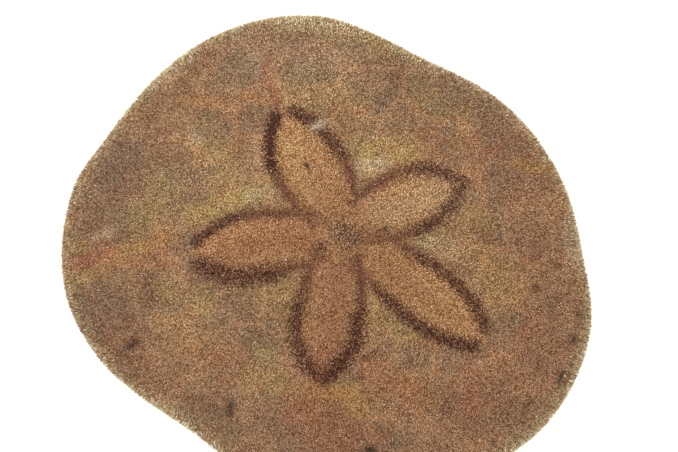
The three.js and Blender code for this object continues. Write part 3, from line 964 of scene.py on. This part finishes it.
class SEABISCUIT_OT_skin(bpy.types.Operator):
    """Builds the skin under the spines, in place of the solid, with the markings that the coat reads"""

    bl_idname = "sea_biscuit.skin"
    bl_label = "Skin"

    def execute(self, context):
        settings = context.scene.sea_biscuit
        shape, spines = settings.shape, settings.spines
        points, normals = skin_grid(shape)
        rings = len(points)
        back_rings = BACK_RINGS + RIM_LAST
        on_back = np.repeat((np.arange(rings) < back_rings).astype(float), SECTORS)
        sunk = points - shape.coat_depth * normals
        apex = np.array([[0, 0, shape.apex_height - shape.coat_depth]])
        mouth = np.array([[0, 0, shape.mouth_depth + shape.coat_depth]])
        places = np.concatenate([apex, sunk.reshape(-1, 3), mouth])
        on_back = np.concatenate([[1.0], on_back, [0.0]])
        outward = np.concatenate([[[0, 0, 1.0]], normals.reshape(-1, 3), [[0, 0, -1.0]]])

        mesh = bpy.data.meshes.new("skin")
        mesh.from_pydata((places + np.array(apex_place())).tolist(), [], skin_faces(rings))
        mesh.shade_smooth()
        x, y = places[:, 0], places[:, 1]
        marked = coat_marks(shape, x, y, on_back)
        for name, strength in marked.items():
            store(mesh, name, strength)

        reach = np.hypot(x, y)
        away = np.stack([x, y, np.zeros(len(x))], axis=1) / (reach[:, None] + UPRIGHT)
        along_skin = away - outward * np.sum(away * outward, axis=1, keepdims=True)
        near_rim = smoothstep(*RIM_LEAN_ONSET, reach / margin_reach(np.degrees(np.arctan2(y, x))))
        store(mesh, "lean", (spines.lean + spines.rim_lean * near_rim[:, None]) * along_skin)
        store(mesh, "spine_length", 1 - BAND_SHORTER * marked["pore_band"])
        store(mesh, "coat_density", (1 - BAND_SPARSER * marked["pore_band"]) * (1 - marked["bare"]))

        sector_rays = np.arange(SECTORS) * len(PETALS) // SECTORS
        patch = np.tile(sector_rays, (rings + 1, 1))
        patch[back_rings:] += len(PETALS)
        patch[BACK_RINGS + RIM_FIRST : back_rings] = FRINGE_PATCH
        mesh.attributes.new("patch", "INT", "FACE").data.foreach_set("value", patch.astype(np.int32).ravel())

        mesh.materials.append(skin_material(settings.colours))
        skin = link(bpy.data.objects.new("skin", mesh))
        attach(skin, BODY)
        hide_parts(NODE)
        return {"FINISHED"}


def grow_coat(context, name, patches, where):
    """Grows the spines of some patches of the skin, a piece for each, with the sizes that belong there."""
    settings = context.scene.sea_biscuit
    spines = settings.spines
    tree, known = coat_tree()
    material = bpy.data.materials.get(SPINE_MATERIAL) or spine_material(settings.colours)
    listed = ("spacing", "length", "thickness", "taper")
    sizes = {size.title(): getattr(spines, f"{where}_{size}") for size in listed}
    for k, patch in enumerate(patches):
        piece = link(bpy.data.objects.new(f"{name}_{k + 1}", bpy.data.objects["skin"].data))
        coat = piece.modifiers.new("Coat", "NODES")
        coat.node_group = tree
        values = {**sizes, "Patch": patch, "Seed": spines.seed + patch,
                  "Jitter": spines.jitter, "Material": material}
        for each, value in values.items():
            coat[known[each]] = value
        grown = bpy.data.meshes.new_from_object(piece.evaluated_get(context.evaluated_depsgraph_get()))
        piece.modifiers.remove(coat)
        piece.data = grown
        grown.name = piece.name
        for spent in ("lean", "spine_length", "coat_density", "across", "cell", "patch"):
            if spent in grown.attributes:
                grown.attributes.remove(grown.attributes[spent])
        if not grown.polygons:
            raise RuntimeError(f"no spines grew for {piece.name}")
        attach(piece, BODY)


class SEABISCUIT_OT_back_spines(bpy.types.Operator):
    """Grows the short felt of the back"""

    bl_idname = "sea_biscuit.back_spines"
    bl_label = "Spines of the back"

    def execute(self, context):
        grow_coat(context, "back_spines", range(len(PETALS)), "back")
        return {"FINISHED"}


class SEABISCUIT_OT_fringe(bpy.types.Operator):
    """Grows the fringe of fine hairs round the rim"""

    bl_idname = "sea_biscuit.fringe"
    bl_label = "Fringe"

    def execute(self, context):
        grow_coat(context, "fringe", [FRINGE_PATCH], "fringe")
        return {"FINISHED"}


class SEABISCUIT_OT_under_spines(bpy.types.Operator):
    """Grows the stouter walking spines of the underside"""

    bl_idname = "sea_biscuit.under_spines"
    bl_label = "Spines of the underside"

    def execute(self, context):
        grow_coat(context, "under_spines", range(len(PETALS), 2 * len(PETALS)), "under")
        return {"FINISHED"}


class SEABISCUIT_OT_studio(bpy.types.Operator):
    """Sets up the white sheet, the light and a camera that looks straight down"""

    bl_idname = "sea_biscuit.studio"
    bl_label = "Studio"

    def execute(self, context):
        scene = context.scene
        studio, colours = scene.sea_biscuit.studio, scene.sea_biscuit.colours
        scene.view_settings.view_transform = "Standard"
        apex = apex_place()

        sheet = bpy.data.meshes.new("floor")
        corners = [(SHEET_HALF * x, SHEET_HALF * y, 0) for x, y in ((-1, -1), (1, -1), (1, 1), (-1, 1))]
        sheet.from_pydata(corners, [], [(0, 1, 2, 3)])
        paper = new_material("White acrylic sheet, lit from below")
        shader = add_node(
            paper.node_tree, "ShaderNodeBsdfPrincipled",
            {"Base Color": (*colours.floor, 1), "Roughness": 0.9, "Emission Color": (1, 1, 1, 1),
             "Emission Strength": studio.glow},
        )
        add_node(paper.node_tree, "ShaderNodeOutputMaterial", {"Surface": shader.outputs[0]})
        sheet.materials.append(paper)
        floor = link(bpy.data.objects.new("floor", sheet))

        world = bpy.data.worlds.new("White room")
        world.use_nodes = True
        world.node_tree.nodes["Background"].inputs["Color"].default_value = (1, 1, 1, 1)
        world.node_tree.nodes["Background"].inputs["Strength"].default_value = studio.sky
        scene.world = world

        lamp = bpy.data.lights.new("softbox", "AREA")
        lamp.energy = studio.softbox
        lamp.size = LAMP_SIZE
        softbox = link(bpy.data.objects.new("softbox", lamp))
        softbox.location = LAMP_PLACE
        softbox.rotation_euler = (-LAMP_PLACE).to_track_quat("-Z", "Y").to_euler()

        lens = bpy.data.cameras.new("camera")
        lens.sensor_width = SENSOR_WIDTH
        rim_height = scene.sea_biscuit.shape.rim_thickness / 2
        lens.lens = lens.sensor_width * (studio.camera_height - rim_height) / studio.frame_width
        lens.clip_end = CAMERA_REACH
        camera = link(bpy.data.objects.new("camera", lens))
        camera.location = apex + Vector((studio.frame_x, studio.frame_y, studio.camera_height))
        scene.camera = camera
        return {"FINISHED"}


class SeaBiscuitSettings(bpy.types.PropertyGroup):
    """All settings of the sea biscuit."""

    shape: PointerProperty(type=SeaBiscuitShape)
    spines: PointerProperty(type=SeaBiscuitSpines)
    colours: PointerProperty(type=SeaBiscuitColours)
    studio: PointerProperty(type=SeaBiscuitStudio)


OPERATORS = (
    SEABISCUIT_OT_studio,
    SEABISCUIT_OT_skin,
    SEABISCUIT_OT_back_spines,
    SEABISCUIT_OT_fringe,
    SEABISCUIT_OT_under_spines,
)


class SEABISCUIT_PT_panel(bpy.types.Panel):
    """Lists the settings and the steps of the sea biscuit"""

    bl_idname = "SEABISCUIT_PT_panel"
    bl_label = "Sea Biscuit"
    bl_space_type = "VIEW_3D"
    bl_region_type = "UI"
    bl_category = "Sea Biscuit"

    def draw(self, context):
        settings = context.scene.sea_biscuit
        for group in (settings.shape, settings.spines, settings.colours, settings.studio):
            box = self.layout.box()
            for name in group.__annotations__:
                box.prop(group, name)
        for operator in OPERATORS:
            self.layout.operator(operator.bl_idname)


CLASSES = (
    SeaBiscuitShape,
    SeaBiscuitSpines,
    SeaBiscuitColours,
    SeaBiscuitStudio,
    SeaBiscuitSettings,
    *OPERATORS,
    SEABISCUIT_PT_panel,
)


def register():
    for each in CLASSES:
        bpy.utils.register_class(each)
    bpy.types.Scene.sea_biscuit = PointerProperty(type=SeaBiscuitSettings)


def unregister():
    del bpy.types.Scene.sea_biscuit
    for each in reversed(CLASSES):
        bpy.utils.unregister_class(each)


def main():
    register()
    bpy.ops.sea_biscuit.studio()
    bpy.ops.sea_biscuit.skin()
    bpy.ops.sea_biscuit.back_spines()
    bpy.ops.sea_biscuit.fringe()
    bpy.ops.sea_biscuit.under_spines()


if __name__ == "__main__":
    main()
